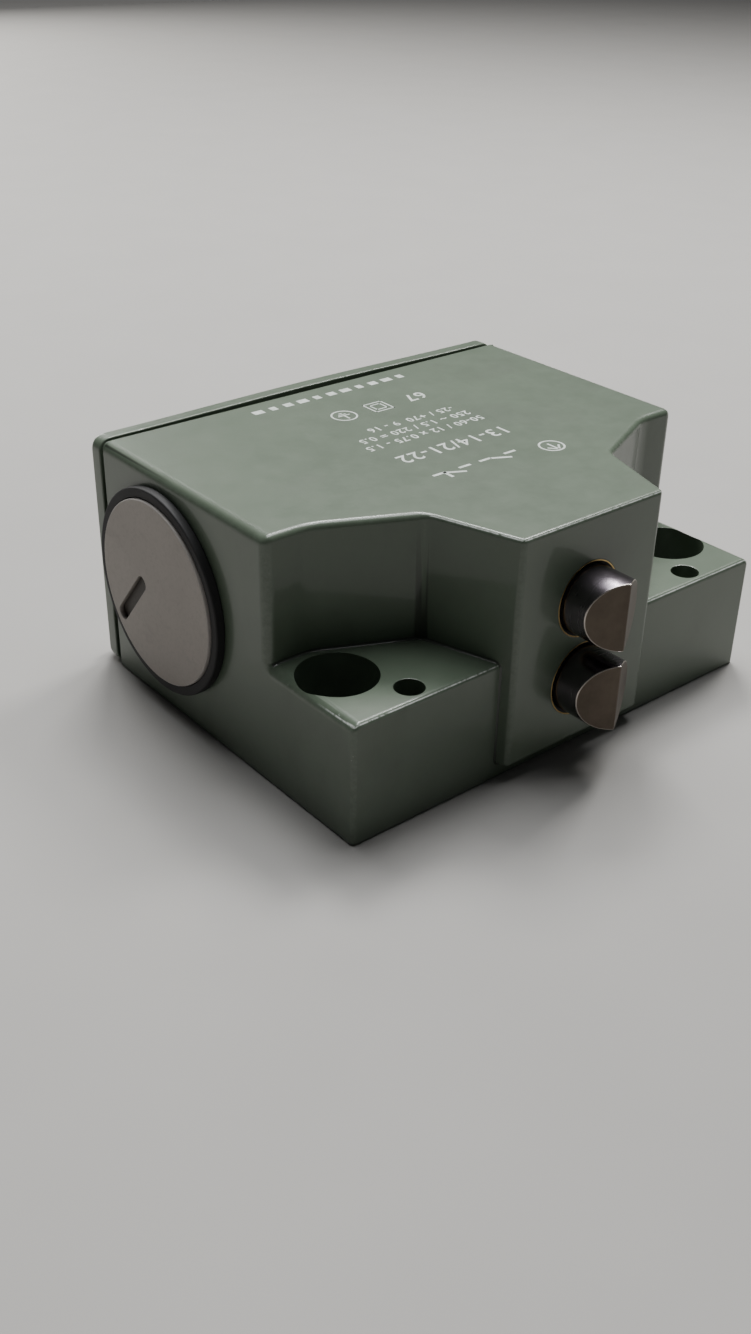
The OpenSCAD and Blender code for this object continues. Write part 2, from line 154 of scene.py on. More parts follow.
def add_light():
    world = bpy.data.worlds.new("soft_room")
    world.use_nodes = True
    background = world.node_tree.nodes["Background"]
    background.inputs["Color"].default_value = (0.80, 0.82, 0.84, 1)
    background.inputs["Strength"].default_value = 0.055
    bpy.context.scene.world = world
    add_area_light("window", (0.20, 1.15, 0.34), (0, 0.02, 0.02), (0.5, 0.4), 5.5, (1, 0.985, 0.95))
    add_area_light("softbox", (0.16, 0.24, 1.0), (0, 0, 0), (0.7, 0.7), 11, (0.98, 0.99, 1))
    for name, place in (("left_lamp", (0.33, 0.46, 0.83)), ("right_lamp", (0.60, 0.18, 0.82))):
        add_area_light(name, place, (0, -0.01, 0.04), (0.22, 0.22), 5, (1, 0.99, 0.97))


def add_floor():
    bpy.ops.mesh.primitive_plane_add(size=6, location=(0, 0, HOUSING_LOW.z))
    floor = bpy.context.object
    floor.name = "floor"
    paper = Finish("pale_floor", roughness=0.75)
    speckle = paper.noise(scale=35, detail=3)
    paper.colour(paper.blend(speckle, (0.38, 0.37, 0.355), (0.41, 0.40, 0.385)))
    floor.data.materials.append(paper.material)


# ---------------------------------------------------------------------------------------------------
# Shader helpers
# ---------------------------------------------------------------------------------------------------


class Value:
    """A number socket; the operators add Math nodes."""

    def __init__(self, finish, socket):
        self.finish = finish
        self.socket = socket

    def _math(self, operation, first, second, clamp=False):
        node = self.finish.node("ShaderNodeMath", {"operation": operation, "use_clamp": clamp},
                                {0: first, 1: second})
        return Value(self.finish, node.outputs[0])

    def __add__(self, other):
        return self._math("ADD", self, other)

    __radd__ = __add__

    def __sub__(self, other):
        return self._math("SUBTRACT", self, other)

    def __rsub__(self, other):
        return self._math("SUBTRACT", other, self)

    def __mul__(self, other):
        return self._math("MULTIPLY", self, other)

    __rmul__ = __mul__

    def above(self, edge, softness):
        """0 below the edge and 1 above it, rising over the given softness."""
        return self._math("MULTIPLY", self - (edge - softness / 2), 1 / softness, clamp=True)


class Finish:
    """One material with a Principled shader and the nodes that feed it."""

    def __init__(self, name, **constants):
        self.material = bpy.data.materials.new(name)
        self.material.use_nodes = True
        self.tree = self.material.node_tree
        self.tree.nodes.clear()
        self.shader = self.node("ShaderNodeBsdfPrincipled")
        output = self.node("ShaderNodeOutputMaterial")
        self.tree.links.new(self.shader.outputs[0], output.inputs["Surface"])
        for key, value in constants.items():
            self.shader.inputs[key.replace("_", " ").title()].default_value = value
        self.place = self.node("ShaderNodeTexCoord").outputs["Object"]

    def node(self, kind, settings=None, inputs=None):
        node = self.tree.nodes.new(kind)
        for key, value in (settings or {}).items():
            setattr(node, key, value)
        for key, value in (inputs or {}).items():
            if isinstance(value, Value):
                value = value.socket
            if isinstance(value, bpy.types.NodeSocket):
                self.tree.links.new(value, node.inputs[key])
            else:
                node.inputs[key].default_value = value
        return node

    def noise(self, scale, detail=2, roughness=0.5, stretch=(1, 1, 1), shift=(0, 0, 0)):
        moved = self.node("ShaderNodeMapping", None,
                          {"Vector": self.place, "Scale": stretch, "Location": shift})
        node = self.node("ShaderNodeTexNoise", None,
                         {"Vector": moved.outputs[0], "Scale": scale, "Detail": detail,
                          "Roughness": roughness})
        return Value(self, node.outputs["Fac"])

    def painted(self, attribute):
        node = self.node("ShaderNodeAttribute", {"attribute_name": attribute})
        return Value(self, node.outputs["Fac"])

    def blend(self, factor, first, second):
        """A colour between two; each is three numbers or a colour socket."""
        colours = [(*c, 1) if isinstance(c, tuple) else c for c in (first, second)]
        node = self.node("ShaderNodeMix", {"data_type": "RGBA", "clamp_factor": True},
                         {0: factor, 6: colours[0], 7: colours[1]})
        return node.outputs[2]

    def colour(self, socket):
        self.tree.links.new(socket, self.shader.inputs["Base Color"])

    def feed(self, **values):
        for key, value in values.items():
            self.tree.links.new(value.socket, self.shader.inputs[key.replace("_", " ").title()])

    def relief(self, height, depth_mm):
        """A bump whose height of 1 stands this many millimetres."""
        bump = self.node("ShaderNodeBump", None, {"Height": height, "Distance": depth_mm * MM})
        self.tree.links.new(bump.outputs[0], self.shader.inputs["Normal"])


# ---------------------------------------------------------------------------------------------------
# Materials
# ---------------------------------------------------------------------------------------------------


def enamel():
    """Grey-green stove enamel with a faint orange peel, rubbed through along the edges, with painted
    shade in the hollow corners and painted highlight lines along the nose's and ears' front edges.
    """
    paint = Finish("grey_green_enamel", coat_weight=0.32, coat_roughness=0.08)
    cloud = paint.noise(scale=28, detail=3)
    mottle = paint.noise(scale=240, detail=4, roughness=0.6)
    grime = paint.noise(scale=60, detail=5, roughness=0.65, stretch=(1, 1, 0.5), shift=(3, 1, 2))
    scuff = paint.noise(scale=950, detail=3, roughness=0.7)
    edge = paint.painted("wear_and_painted_light")
    base = paint.blend(cloud.above(0.5, 0.5), (0.088, 0.118, 0.082), (0.106, 0.140, 0.098))
    base = paint.blend(mottle.above(0.55, 0.4) * 0.35, base, (0.116, 0.153, 0.108))
    base = paint.blend(grime.above(0.62, 0.2) * 0.35, base, (0.064, 0.082, 0.056))
    # Painted shade: the hollow corners are darkened almost to black.
    base = paint.blend((edge * -1).above(0.35, 0.6) * 0.85, base, (0.018, 0.023, 0.015))
    rubbed = edge.above(0.6, 0.6) * scuff.above(0.50, 0.3)
    base = paint.blend(rubbed * 0.16, base, (0.24, 0.28, 0.23))
    chip = edge.above(0.85, 0.2) * scuff.above(0.66, 0.05) * grime.above(0.59, 0.06)
    base = paint.blend(chip, base, (0.52, 0.53, 0.52))
    # Painted highlight: a near-white line along the crowns marked 2.
    painted_highlight = edge.above(1.72, 0.3) * scuff.above(0.42, 0.25)
    base = paint.blend(painted_highlight * 0.8, base, (0.74, 0.76, 0.74))
    paint.colour(base)
    paint.feed(roughness=0.30 + mottle * 0.10 + grime * 0.10 - rubbed * 0.08, metallic=chip * 0.8)
    peel = paint.noise(scale=620, detail=2, roughness=0.4)
    sag = paint.noise(scale=90, detail=1)
    paint.relief(peel * 0.35 + sag - chip * 0.4, 0.045)
    return paint.material


def bare_casting():
    """Unpainted aluminium die casting inside the housing."""
    metal = Finish("bare_casting")
    grain = metal.noise(scale=900, detail=4, roughness=0.65)
    stain = metal.noise(scale=45, detail=4)
    base = metal.blend(stain.above(0.5, 0.5), (0.30, 0.30, 0.29), (0.42, 0.42, 0.41))
    metal.colour(metal.blend(grain.above(0.6, 0.3) * 0.5, base, (0.22, 0.22, 0.21)))
    metal.feed(roughness=0.48 + grain * 0.2, metallic=0.75 + stain * 0.15)
    metal.relief(grain + stain, 0.05)
    return metal.material


def ground_steel(axis_height, name):
    """Hardened plunger steel: turned round its side, ground up and down on the two running faces, with
    painted shade on the roof faces and lighter worn edges that also act as painted highlight lines.
    """
    steel = Finish(name, metallic=1.0)
    turning = steel.noise(scale=900, detail=3, stretch=(0.02, 6, 0.02))
    grinding = steel.noise(scale=1400, detail=3, stretch=(2.5, 2.5, 0.05), shift=(0, 0, axis_height))
    tarnish = steel.noise(scale=130, detail=4, roughness=0.6)
    facing = steel.node("ShaderNodeNewGeometry").outputs["Normal"]
    split = steel.node("ShaderNodeSeparateXYZ", None, {0: facing})
    on_roof = (Value(steel, split.outputs["Y"]) * -1).above(0.6, 0.3)
    side = steel.blend(tarnish.above(0.5, 0.4), (0.19, 0.165, 0.19), (0.29, 0.26, 0.29))
    # Painted shade: the roof faces get a much darker colour than the side, standing in for their dark
    # reflection.
    roof = steel.blend(tarnish.above(0.5, 0.4), (0.075, 0.061, 0.048), (0.115, 0.094, 0.075))
    ground = steel.blend(on_roof, side, roof)
    # Lighter worn edges, which also serve as painted highlight lines along the ridge and facet edges.
    worn = steel.painted("wear_and_painted_light").above(0.5, 0.6) * 0.8
    steel.colour(steel.blend(worn, ground, (0.55, 0.50, 0.45)))
    steel.feed(roughness=0.20 + turning * 0.07 + on_roof * (0.14 + grinding * 0.10) + tarnish * 0.05)
    lines = turning * (1 - on_roof) + grinding * on_roof
    steel.relief(lines, 0.006)
    return steel.material


def turned_brass():
    brass = Finish("turned_brass", metallic=1.0)
    rings = brass.noise(scale=1500, detail=2, stretch=(0.1, 5, 0.1))
    dull = brass.noise(scale=160, detail=4)
    brass.colour(brass.blend(dull.above(0.5, 0.4), (0.42, 0.30, 0.12), (0.62, 0.46, 0.20)))
    brass.feed(roughness=0.24 + rings * 0.10 + dull * 0.10)
    brass.relief(rings, 0.008)
    return brass.material


def black_rubber():
    rubber = Finish("black_rubber")
    bloom = rubber.noise(scale=120, detail=4)
    grain = rubber.noise(scale=1800, detail=3)
    rubber.colour(rubber.blend(bloom.above(0.52, 0.4), (0.008, 0.008, 0.009), (0.019, 0.018, 0.019)))
    rubber.feed(roughness=0.58 + bloom * 0.18)
    rubber.relief(grain, 0.02)
    return rubber.material


def plug_plastic():
    """Warm grey moulding with a matt spark-eroded face."""
    plastic = Finish("warm_grey_moulding")
    cloud = plastic.noise(scale=55, detail=3)
    grain = plastic.noise(scale=1500, detail=3, roughness=0.6)
    smear = plastic.noise(scale=180, detail=5, roughness=0.7, stretch=(1, 0.4, 1))
    base = plastic.blend(cloud.above(0.5, 0.5), (0.36, 0.325, 0.295), (0.42, 0.38, 0.345))
    base = plastic.blend(grain.above(0.60, 0.25) * 0.30, base, (0.27, 0.25, 0.23))
    base = plastic.blend(smear.above(0.63, 0.15) * 0.25, base, (0.24, 0.215, 0.195))
    base = plastic.blend(plastic.painted("wear_and_painted_light") * 0.5, base, (0.50, 0.48, 0.46))
    # Painted shade: the screwdriver slot is darkened almost to black.
    plastic.colour(plastic.blend(plastic.painted("slot_painted_shade") * 0.95, base, (0.030, 0.024, 0.018)))
    plastic.feed(roughness=0.46 + grain * 0.16)
    plastic.relief(grain + cloud * 0.4, 0.03)
    return plastic.material


def zinc_plate():
    zinc = Finish("zinc_plated_steel", metallic=1.0)
    blotch = zinc.noise(scale=200, detail=4)
    grain = zinc.noise(scale=1300, detail=3)
    zinc.colour(zinc.blend(blotch.above(0.5, 0.4), (0.50, 0.50, 0.48), (0.66, 0.66, 0.65)))
    zinc.feed(roughness=0.26 + blotch * 0.16 + grain * 0.05)
    zinc.relief(grain, 0.010)
    return zinc.material


def spring_wire():
    wire = Finish("spring_wire", metallic=1.0)
    drawn = wire.noise(scale=700, detail=3)
    wire.colour(wire.blend(drawn.above(0.5, 0.4), (0.30, 0.30, 0.32), (0.48, 0.48, 0.50)))
    wire.feed(roughness=0.24 + drawn * 0.12)
    return wire.material


def moulding(name, dark, light, roughness, coat=0.0):
    """A moulded plastic with faint flow marks and a fine texture."""
    plastic = Finish(name, coat_weight=coat)
    flow = plastic.noise(scale=90, detail=3, stretch=(1, 0.35, 1))
    grain = plastic.noise(scale=900, detail=3)
    plastic.colour(plastic.blend(flow.above(0.5, 0.5), dark, light))
    plastic.feed(roughness=roughness + grain * 0.12)
    plastic.relief(grain, 0.012)
    return plastic.material


def stamped(name, dark, light):
    """Rolled strip metal, a little tarnished."""
    strip = Finish(name, metallic=1.0)
    rolled = strip.noise(scale=800, detail=2, stretch=(0.08, 1, 2))
    tarnish = strip.noise(scale=120, detail=4)
    strip.colour(strip.blend(tarnish.above(0.5, 0.5), dark, light))
    strip.feed(roughness=0.28 + rolled * 0.12 + tarnish * 0.08)
    strip.relief(rolled, 0.006)
    return strip.material


def printing_ink():
    ink = Finish("pale_ink")
    worn = ink.noise(scale=700, detail=4, roughness=0.6)
    ink.colour(ink.blend(worn.above(0.52, 0.3), (0.66, 0.70, 0.66), (0.46, 0.51, 0.46)))
    ink.feed(roughness=0.42 + worn * 0.15)
    return ink.material


# ---------------------------------------------------------------------------------------------------
# Modelling helpers
# ---------------------------------------------------------------------------------------------------

FORWARD = (math.radians(90), 0, 0)
SIDEWAYS = (0, math.radians(90), 0)
UPRIGHT = (0, 0, 0)


def only(piece):
    bpy.ops.object.select_all(action="DESELECT")
    piece.select_set(True)
    bpy.context.view_layer.objects.active = piece


def settle(name):
    """Names the new primitive and moves its place into its mesh."""
    piece = bpy.context.object
    piece.name = name
    piece.data.name = name
    only(piece)
    bpy.ops.object.transform_apply(location=True, rotation=True, scale=True)
    return piece


def block(name, low, high):
    low, high = Vector(low), Vector(high)
    bpy.ops.mesh.primitive_cube_add(size=1, location=(low + high) / 2, scale=high - low)
    return settle(name)


def round_bar(name, centre, radius, length, turn=FORWARD, sides=96):
    bpy.ops.mesh.primitive_cylinder_add(vertices=sides, radius=radius, depth=length, location=centre,
                                        rotation=turn)
    return settle(name)


def start_edit(piece, kind="FACE"):
    only(piece)
    bpy.ops.object.mode_set(mode="EDIT")
    bpy.ops.mesh.select_mode(type=kind)


def end_edit():
    bpy.ops.object.mode_set(mode="OBJECT")


def middle(item):
    if isinstance(item, bmesh.types.BMFace):
        return item.calc_center_median()
    return sum((v.co for v in item.verts), Vector()) / len(item.verts)


def pick(piece, kind, test):
    """In edit mode, selects just the faces or edges whose middle passes the test."""
    bpy.ops.mesh.select_mode(type=kind)
    bpy.ops.mesh.select_all(action="DESELECT")
    mesh = bmesh.from_edit_mesh(piece.data)
    count = 0
    for item in mesh.faces if kind == "FACE" else mesh.edges:
        if test(item, middle(item)):
            item.select_set(True)
            count += 1
    mesh.select_flush_mode()
    bmesh.update_edit_mesh(piece.data)
    return count


def near(a, b, reach=0.05 * MM):
    return abs(a - b) < reach


def slice_at(piece, place, normal, **options):
    bpy.ops.mesh.select_all(action="SELECT")
    bpy.ops.mesh.bisect(plane_co=place, plane_no=normal, **options)


def extrude(move):
    bpy.ops.mesh.extrude_region_move(TRANSFORM_OT_translate={"value": move})


def finish_with(piece, kind, **settings):
    only(piece)
    modifier = piece.modifiers.new(kind.lower(), kind)
    for key, value in settings.items():
        setattr(modifier, key, value)
    bpy.ops.object.modifier_apply(modifier=modifier.name)


def cut(piece, tool):
    finish_with(piece, "BOOLEAN", operation="DIFFERENCE", object=tool, solver="EXACT")
    bpy.data.objects.remove(tool)


def drill(piece, name, centre, radius, length, turn=FORWARD, sides=96):
    """Takes a round bar out of the piece."""
    cut(piece, round_bar(name, centre, radius, length, turn, sides))


def fuse(piece, other):
    finish_with(piece, "BOOLEAN", operation="UNION", object=other, solver="EXACT")
    bpy.data.objects.remove(other)


def weld_flat(piece):
    """Dissolves the seams that a fusion leaves in flat faces."""
    start_edit(piece)
    bpy.ops.mesh.select_all(action="SELECT")
    bpy.ops.mesh.remove_doubles(threshold=0.002 * MM)
    bpy.ops.mesh.dissolve_limited(angle_limit=math.radians(0.5))
    bpy.ops.mesh.normals_make_consistent(inside=False)
    end_edit()


def round_edges(piece, radius, angle=30, segments=3):
    finish_with(piece, "BEVEL", width=radius, segments=segments, limit_method="ANGLE",
                angle_limit=math.radians(angle), use_clamp_overlap=True)


def smooth(piece, angle=32):
    only(piece)
    bpy.ops.object.shade_smooth_by_angle(angle=math.radians(angle))
    finish_with(piece, "WEIGHTED_NORMAL", keep_sharp=True, weight=80)


def twin(piece, name, move):
    """A copy with its own mesh, its place in its mesh."""
    only(piece)
    bpy.ops.object.duplicate(linked=False)
    copy = bpy.context.object
    copy.name = name
    copy.data.name = name
    copy.data.transform(Matrix.Translation(move))
    return copy


def joined(name, pieces):
    bpy.ops.object.select_all(action="DESELECT")
    for piece in pieces:
        piece.select_set(True)
    bpy.context.view_layer.objects.active = pieces[0]
    bpy.ops.object.join()
    pieces[0].name = name
    pieces[0].data.name = name
    return pieces[0]


def dress(piece, material, body, nodes=()):
    piece.data.materials.append(material)
    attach(piece, body)
    if nodes:
        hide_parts(*nodes)


# A vertex whose neighbours lean this little to either side of its tangent plane counts as flat.
FLAT_LEAN = 0.02


def strip_width(piece, face):
    """The mean width of a face, measured across its longest side."""
    corners = [piece.data.vertices[index].co for index in face.vertices]
    return face.area / max((a - b).length for a, b in zip(corners, corners[1:] + corners[:1]))


def mark_wear_and_painted_light(piece, is_broad, bright=lambda vertex: False):
    """Stores 1 along the crown of each outward rounding, or 2 where a painted highlight line goes, -1
    along hollow corners, where painted shade goes, and 0 on broad faces."""
    broad = set()
    for face in piece.data.polygons:
        if is_broad(face):
            broad.update(face.vertices)
    mesh = bmesh.new()
    mesh.from_mesh(piece.data)
    marks = []
    for vertex in mesh.verts:
        lean = sum((e.other_vert(vertex).co - vertex.co).normalized().dot(vertex.normal)
                   for e in vertex.link_edges)
        mark = -1.0 if lean > FLAT_LEAN else 1.0 if lean < -FLAT_LEAN else 0.0
        if mark > 0 and bright(vertex):
            mark = 2.0
        marks.append(0.0 if vertex.index in broad else mark)
    mesh.free()
    wear = piece.data.attributes.new("wear_and_painted_light", "FLOAT", "POINT")
    wear.data.foreach_set("value", marks)


# ---------------------------------------------------------------------------------------------------
# Housing
# ---------------------------------------------------------------------------------------------------


def housing_shell():
    """The body and its nose, shaped from one block, fused with the slab that forms the ears."""
    piece = block("housing_casting", (-HALF_WIDTH, SHOULDER_Y, FOOT_TOP), (HALF_WIDTH, REAR_Y, TOP))
    start_edit(piece)
    for x in (-SHOULDER_HALF, SHOULDER_HALF):
        slice_at(piece, (x, 0, 0), (1, 0, 0))
    pick(piece, "FACE", lambda f, m: f.normal.y < -0.9 and abs(m.x) < SHOULDER_HALF)
    extrude((0, NOSE_ROOT_Y - SHOULDER_Y, 0))
    bpy.ops.transform.resize(value=(NOSE_ROOT_HALF / SHOULDER_HALF, 1, 1), center_override=(0, 0, 0))
    extrude((0, NOSE_Y - NOSE_ROOT_Y, 0))
    bpy.ops.transform.resize(value=(NOSE_TIP_HALF / NOSE_ROOT_HALF, 1, 1), center_override=(0, 0, 0))
    end_edit()
    ears = block("ear_slab", (-HALF_WIDTH, EAR_FRONT, HOUSING_LOW.z), (HALF_WIDTH, REAR_Y, EAR_TOP))
    fuse(piece, ears)
    weld_flat(piece)
    return piece


# Largest edge radius of the casting; the weights below are shares of it.
CAST_RADIUS = 2.2 * MM


def edge_weight(edge, at):
    """How round each cast edge is, as a share of the largest radius."""
    along = (edge.verts[1].co - edge.verts[0].co).normalized()
    if near(at.y, REAR_Y):
        return 0.18
    if near(at.z, HOUSING_LOW.z):
        return 0.25
    if near(at.z, TOP):
        if near(abs(at.x), HALF_WIDTH):
            return 0.95
        return 0.38 if at.y < NOSE_ROOT_Y + 1 * MM else 0.60
    if near(at.z, FOOT_TOP):
        return 0.30
    if near(at.z, EAR_TOP):
        if near(abs(at.x), HALF_WIDTH):
            return 0.90
        return 0.45 if near(at.y, EAR_FRONT) else 0.25
    if abs(along.z) > 0.9:
        if near(at.y, NOSE_Y):
            return 0.42
        if near(at.y, NOSE_ROOT_Y):
            return 0.70
        if near(abs(at.x), HALF_WIDTH):
            return 0.85 if at.z > EAR_TOP else 0.50
        if near(abs(at.x), SHOULDER_HALF):
            return 0.90
        return 0.15
    return 0.0


def round_the_casting(piece):
    start_edit(piece, "EDGE")
    mesh = bmesh.from_edit_mesh(piece.data)
    weights = {edge_weight(edge, middle(edge)) for edge in mesh.edges}
    for weight in sorted(weights - {0.0}):
        pick(piece, "EDGE", lambda e, m: edge_weight(e, m) == weight)
        bpy.ops.transform.edge_bevelweight(value=weight)
    end_edit()
    finish_with(piece, "BEVEL", width=CAST_RADIUS, segments=4, limit_method="WEIGHT",
                use_clamp_overlap=False, miter_outer="MITER_ARC", harden_normals=False)


def cavity_tool():
    """What the core leaves hollow: a rounded chamber round four corner bosses and two posts."""
    tool = block("core", (-CAVITY_HALF, CAVITY_Y, WALL), (CAVITY_HALF, REAR_Y + 3 * MM, TOP - WALL))
    start_edit(tool)
    pick(tool, "EDGE", lambda e, m: near(abs(m.x), CAVITY_HALF)
         and near(abs(m.z - TOP / 2), TOP / 2 - WALL))
    bpy.ops.mesh.bevel(offset=3 * MM, segments=5)
    end_edit()
    length = REAR_Y - CAVITY_Y + 10 * MM
    for x, z in SCREW_PLACES:
        drill(tool, "boss", (x, CAVITY_Y + length / 2 - 1 * MM, z), BOSS_RADIUS, length, sides=48)
    length = CARRIER_FRONT_Y - CAVITY_Y + 2 * MM
    for x in (-POST_X, POST_X):
        drill(tool, "post", (x, CARRIER_FRONT_Y - length / 2, TOP / 2), POST_RADIUS, length, sides=48)
    return tool


def soften_rims(piece, test, size, segments=2):
    """Rounds the sharp edges that pass the test."""
    start_edit(piece, "EDGE")
    found = pick(piece, "EDGE", lambda e, m: test(e, m) and len(e.link_faces) == 2
                 and e.calc_face_angle(0) > math.radians(50))
    if found:
        bpy.ops.mesh.bevel(offset=size, segments=segments, clamp_overlap=True)
    end_edit()


def distance(a, b):
    """How far apart two places are in a plane."""
    return math.hypot(a[0] - b[0], a[1] - b[1])


# How far outside a hole's radius a face or an edge still counts as the hole's.
RIM_REACH = 0.2 * MM


def soften_ear_holes(piece, x, y, radius, size):
    soften_rims(piece, lambda e, m: near(m.z, EAR_TOP)
                and distance(m, (math.copysign(x, m.x), y)) < radius + RIM_REACH, size)


def painted_highlight_crown(vertex):
    """The crowns of the nose's top edges and the ears' front edges, on the strip that leans up towards
    the lamps, where a painted highlight line goes.
    """
    at = vertex.co
    nose = TOP - 0.8 * MM < at.z and at.y < NOSE_ROOT_Y - 0.3 * MM
    ear = EAR_TOP - 1.1 * MM < at.z < EAR_TOP + 0.1 * MM and at.y < EAR_FRONT + 1.2 * MM
    return 0.6 < vertex.normal.z < 0.82 and (nose or ear)


def build_housing():
    piece = housing_shell()
    round_the_casting(piece)
    mark_wear_and_painted_light(piece, lambda face: strip_width(piece, face) > 1 * MM, painted_highlight_crown)
    cut(piece, cavity_tool())
    for height in PLUNGER_HEIGHTS.values():
        drill(piece, "bore", (0, CAVITY_Y - 14 * MM, height), BUSH_RADIUS + 0.03 * MM, 38 * MM)
    through = EAR_TOP + 4 * MM
    for x in (-HOLE_X, HOLE_X):
        drill(piece, "bolt", (x, 0, EAR_TOP / 2), MOUNTING_HOLE_RADIUS, through, UPRIGHT, 64)
        drill(piece, "counterbore", (x, 0, EAR_TOP), COUNTERBORE_RADIUS, 2 * COUNTERBORE_DEPTH, UPRIGHT)
    for x in (-LOCATING_X, LOCATING_X):
        drill(piece, "dowel", (x, LOCATING_Y, EAR_TOP / 2), LOCATING_HOLE_RADIUS, through, UPRIGHT, 64)
    for name, x, radius in (("plugged", -HALF_WIDTH + 2 * MM, ENTRY_RADIUS + 0.02 * MM),
                            ("entry", HALF_WIDTH - 2 * MM, THREAD_RADIUS)):
        drill(piece, name, (x, ENTRY_Y, ENTRY_Z), radius, 12 * MM, SIDEWAYS)
    for x, z in SCREW_PLACES:
        drill(piece, "tapping", (x, REAR_Y, z), 2.02 * MM, 2 * TAPPING_DEPTH, sides=48)
    soften_ear_holes(piece, HOLE_X, 0, COUNTERBORE_RADIUS, 0.35 * MM)
    soften_ear_holes(piece, LOCATING_X, LOCATING_Y, LOCATING_HOLE_RADIUS, 0.25 * MM)
    soften_rims(piece, lambda e, m: near(m.y, NOSE_Y) and abs(m.x) < 8 * MM, 0.12 * MM)
    soften_rims(piece, lambda e, m: near(m.x, HALF_WIDTH) and distance(
        (m.y, m.z), (ENTRY_Y, ENTRY_Z)) < THREAD_RADIUS + RIM_REACH, 0.7 * MM)
    return piece


def line_the_chamber(piece, material):
    """The second material slot covers every face inside the casting."""
    piece.data.materials.append(material)
    for face in piece.data.polygons:
        x, y, z = face.center
        from_bore = min(distance((x, z), (0, height)) for height in PLUNGER_HEIGHTS.values())
        inside_nose = (from_bore < BUSH_RADIUS + RIM_REACH and y > NOSE_Y + 0.2 * MM
                       and face.area < 100 * MM * MM)
        chamber = (CAVITY_Y - 0.1 * MM < y < REAR_Y - 0.1 * MM and abs(x) < HALF_WIDTH - 0.8 * MM
                   and WALL - 1 * MM < z < TOP - WALL + 1 * MM)
        tapped = (REAR_Y - TAPPING_DEPTH - 1 * MM < y < REAR_Y - 0.1 * MM
                  and CAVITY_HALF - 2 * MM < abs(x) < HALF_WIDTH - 2 * MM)
        bolt = (0.3 * MM < z < EAR_TOP - COUNTERBORE_DEPTH - 0.2 * MM
                and distance((abs(x), y), (HOLE_X, 0)) < MOUNTING_HOLE_RADIUS + 0.1 * MM)
        if inside_nose or chamber or tapped or bolt:
            face.material_index = 1


# ---------------------------------------------------------------------------------------------------
# Rear cover, gasket and screws
# ---------------------------------------------------------------------------------------------------

COVER_BOW = 1.0 * MM
BOW_REACH = 46 * MM
PLATE_STRIPS = 16


def rounded_plate(name, low, high, corner):
    """A plate with round corners, sliced across its width so that it can be bowed."""
    piece = block(name, low, high)
    start_edit(piece)
    pick(piece, "EDGE", lambda e, m: near(abs(m.x), high[0]) and near(m.y, (low[1] + high[1]) / 2))
    bpy.ops.mesh.bevel(offset=corner, segments=6)
    span = high[0] - low[0] - 2 * corner
    for step in range(1, PLATE_STRIPS):
        slice_at(piece, (low[0] + corner + span * step / PLATE_STRIPS, 0, 0), (1, 0, 0))
    end_edit()
    return piece


def bow(piece, test):
    """Pulls the middle of the picked edges back, easing to nothing towards both ends."""
    start_edit(piece)
    pick(piece, "EDGE", lambda e, m: near(m.x, 0) and test(m))
    bpy.ops.transform.translate(value=(0, COVER_BOW, 0), use_proportional_edit=True,
                                proportional_edit_falloff="SMOOTH", proportional_size=BOW_REACH)
    end_edit()


def build_cover():
    low = (-HALF_WIDTH, COVER_LOW.y, HOUSING_LOW.z)
    piece = rounded_plate("rear_cover_plate", low, (HALF_WIDTH, COVER_HIGH.y, TOP), 2.6 * MM)
    for y, radius in ((COVER_LOW.y, 0.3 * MM), (COVER_HIGH.y, 0.9 * MM)):
        soften_rims(piece, lambda e, m: near(m.y, y), radius, segments=4)
    bow(piece, lambda m: True)
    mark_wear_and_painted_light(piece, lambda face: strip_width(piece, face) > 1 * MM)
    for x, z in SCREW_PLACES:
        drill(piece, "clearance", (x, COVER_HIGH.y, z), 2.25 * MM, 12 * MM, sides=48)
    return piece


def build_gasket():
    """A rubber sheet frame that bulges a little where the bowed cover lets it."""
    inset = 1.5 * MM
    low = (-HALF_WIDTH + inset, GASKET_LOW.y, HOUSING_LOW.z + inset)
    high = (HALF_WIDTH - inset, GASKET_HIGH.y, TOP - inset)
    piece = rounded_plate("cover_seal", low, high, 2.2 * MM)
    window = block("window", (-CAVITY_HALF + 3 * MM, GASKET_LOW.y - 2 * MM, WALL + 3 * MM),
                   (CAVITY_HALF - 3 * MM, GASKET_HIGH.y + 2 * MM, TOP - WALL - 3 * MM))
    for x, z in SCREW_PLACES:
        drill(window, "land", (x, GASKET_HIGH.y, z), BOSS_RADIUS, 12 * MM, sides=48)
    cut(piece, window)
    bow(piece, lambda m: near(m.y, GASKET_HIGH.y))
    round_edges(piece, 0.2 * MM, angle=40, segments=2)
    return piece


def build_cover_screw():
    """One pan-head screw with a cross recess, its head on the cover's rear face."""
    head_y = COVER_HIGH.y
    head_top = SCREWS_HIGH.y
    shank = head_y - SCREWS_LOW.y
    height = SCREW_HEIGHTS[1]
    piece = round_bar("cover_screw", (SCREW_X, (head_y + head_top) / 2, height), SCREW_HEAD_RADIUS,
                      head_top - head_y, sides=64)
    start_edit(piece)
    pick(piece, "EDGE", lambda e, m: near(m.y, head_top) and len(e.link_faces) == 2)
    bpy.ops.mesh.bevel(offset=1.15 * MM, segments=6)
    pick(piece, "FACE", lambda f, m: near(m.y, head_y) and f.normal.y < -0.9)
    bpy.ops.mesh.inset(thickness=1.5 * MM)
    extrude((0, -shank, 0))
    end_edit()
    for half_x, half_z in ((0.5 * MM, 2.1 * MM), (2.1 * MM, 0.5 * MM)):
        cut(piece, block("cross", (SCREW_X - half_x, head_top - 1.3 * MM, height - half_z),
                         (SCREW_X + half_x, head_top + 1 * MM, height + half_z)))
    round_edges(piece, 0.1 * MM, angle=40, segments=2)
    smooth(piece)
    return piece


